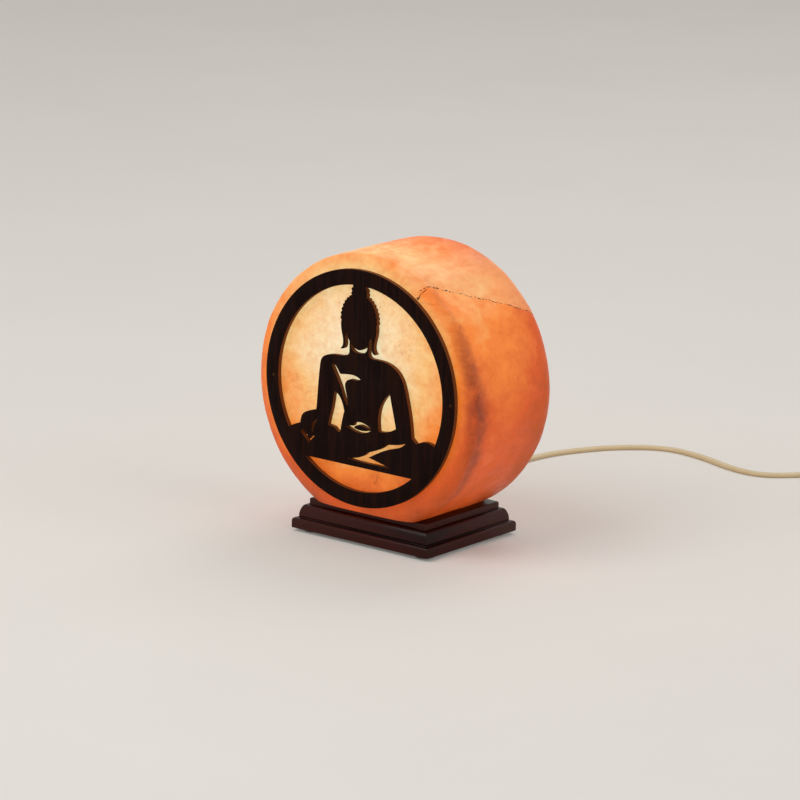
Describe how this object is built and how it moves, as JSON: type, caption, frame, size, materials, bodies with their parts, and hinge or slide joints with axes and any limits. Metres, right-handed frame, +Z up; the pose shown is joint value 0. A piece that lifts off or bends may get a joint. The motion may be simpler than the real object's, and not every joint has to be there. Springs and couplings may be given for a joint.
{
  "type": "salt crystal lamp",
  "caption": "Round slab of glowing rock salt on a moulded wooden foot, with a fretwork figure on its front, a small bulb inside, and a flat lead with an in-line switch and a mains plug.",
  "frame": {"origin": "on the table under the lamp, midway between the left and right edges of the salt and midway between the fretwork panel's face and the foot's back edge", "axes": "+Z up, +X to the right of someone who looks at the fretwork, +Y away from them; the lead leaves towards +Y"},
  "size_m": [0.3511, 0.3695, 0.1855],
  "materials": {
    "rock_salt": "cut rock salt, lit from inside, brightest at the middle of its front",
    "stained_wood": "dark red-brown stain under satin lacquer",
    "dark_walnut": "laser-cut wood, dark stain, fine upright grain",
    "felt": "pressed felt",
    "zinc_steel": "zinc plated",
    "spring_steel": "spring strip, plain",
    "grey_nylon": "moulded nylon",
    "brass": "plain",
    "clear_glue": "cured clear adhesive",
    "black_phenolic": "moulded phenolic",
    "white_ceramic": "unglazed",
    "solder": "solder dot",
    "black_glass": "black glass filling, entered as gloss_plastic because it is opaque",
    "nickel": "nickel plated",
    "clear_glass": "thin clear bulb glass",
    "stem_glass": "solid glass stem",
    "filament": "tungsten, lit",
    "cream_pvc": "flat twin lead, soft and slightly translucent",
    "core_pvc": "insulated single core",
    "cream_rubber": "moulded rubber",
    "tie_plastic": "releasable strap",
    "white_plastic": "moulded, satin",
    "rocker_plastic": "moulded, polished",
    "plug_pvc": "moulded on the lead",
    "black_plastic": "pin insulation"
  },
  "bodies": {
    "lamp": {"base_feet": "felt", "base_screws": "zinc_steel", "centre_contact": "brass", "clamp_screws": "zinc_steel", "clip_rivets": "zinc_steel", "coil_tie": "tie_plastic", "cord_coil": "cream_pvc", "cord_end": "cream_pvc", "cord_grommet": "cream_rubber", "cord_lead": "cream_pvc", "cord_saddle": "grey_nylon", "cord_tail": "cream_pvc", "front_panel": "dark_walnut", "groove_lead": "cream_pvc", "holder_cap": "black_phenolic", "holder_core": "white_ceramic", "holder_nipple": "zinc_steel", "holder_plate": "zinc_steel", "holder_sleeve": "black_phenolic", "inner_wires": "core_pvc", "lock_nuts": "zinc_steel", "panel_adhesive": "clear_glue", "panel_pins": "brass", "pin_sleeves": "black_plastic", "plug_body": "plug_pvc", "plug_pins": "nickel", "saddle_screws": "zinc_steel", "salt_crystal": "rock_salt", "screw_plugs": "grey_nylon", "screw_shell": "brass", "spring_clips": "spring_steel", "switch_base": "white_plastic", "switch_clamps": "grey_nylon", "switch_cover": "white_plastic", "switch_grubs": "zinc_steel", "switch_screws": "zinc_steel", "switch_terminals": "brass", "switch_wires": "core_pvc", "terminal_screws": "zinc_steel", "wood_base": "stained_wood"},
    "rocker": {"switch_rocker": "rocker_plastic", "rocker_bridge": "brass"},
    "bulb_thread": {"bulb_tip": "solder"},
    "bulb": {"bulb_glass": "clear_glass", "bulb_cap": "nickel", "bulb_insulator": "black_glass", "bulb_stem": "stem_glass", "bulb_wires": "nickel", "bulb_filament": "filament"}
  },
  "joints": [
    {"name": "switch_rock", "type": "hinge", "parent": "lamp", "child": "rocker", "pos_m": [0.181, 0.3115, 0.0115], "axis": [0, -1, 0], "range_deg": [0, 16]},
    {"name": "bulb_lift", "type": "slide", "parent": "lamp", "child": "bulb_thread", "axis": [0, 0, 1], "range_m": [0, 0.00847]},
    {"name": "bulb_turn", "type": "hinge", "parent": "bulb_thread", "child": "bulb", "pos_m": [0, 0.001, 0.05], "axis": [0, 0, 1], "range_deg": [0, 1080]}
  ],
  "couplings": [
    {"joint": "bulb_lift", "follows": "bulb_turn", "m_per_rad": 0.00044882}
  ]
}
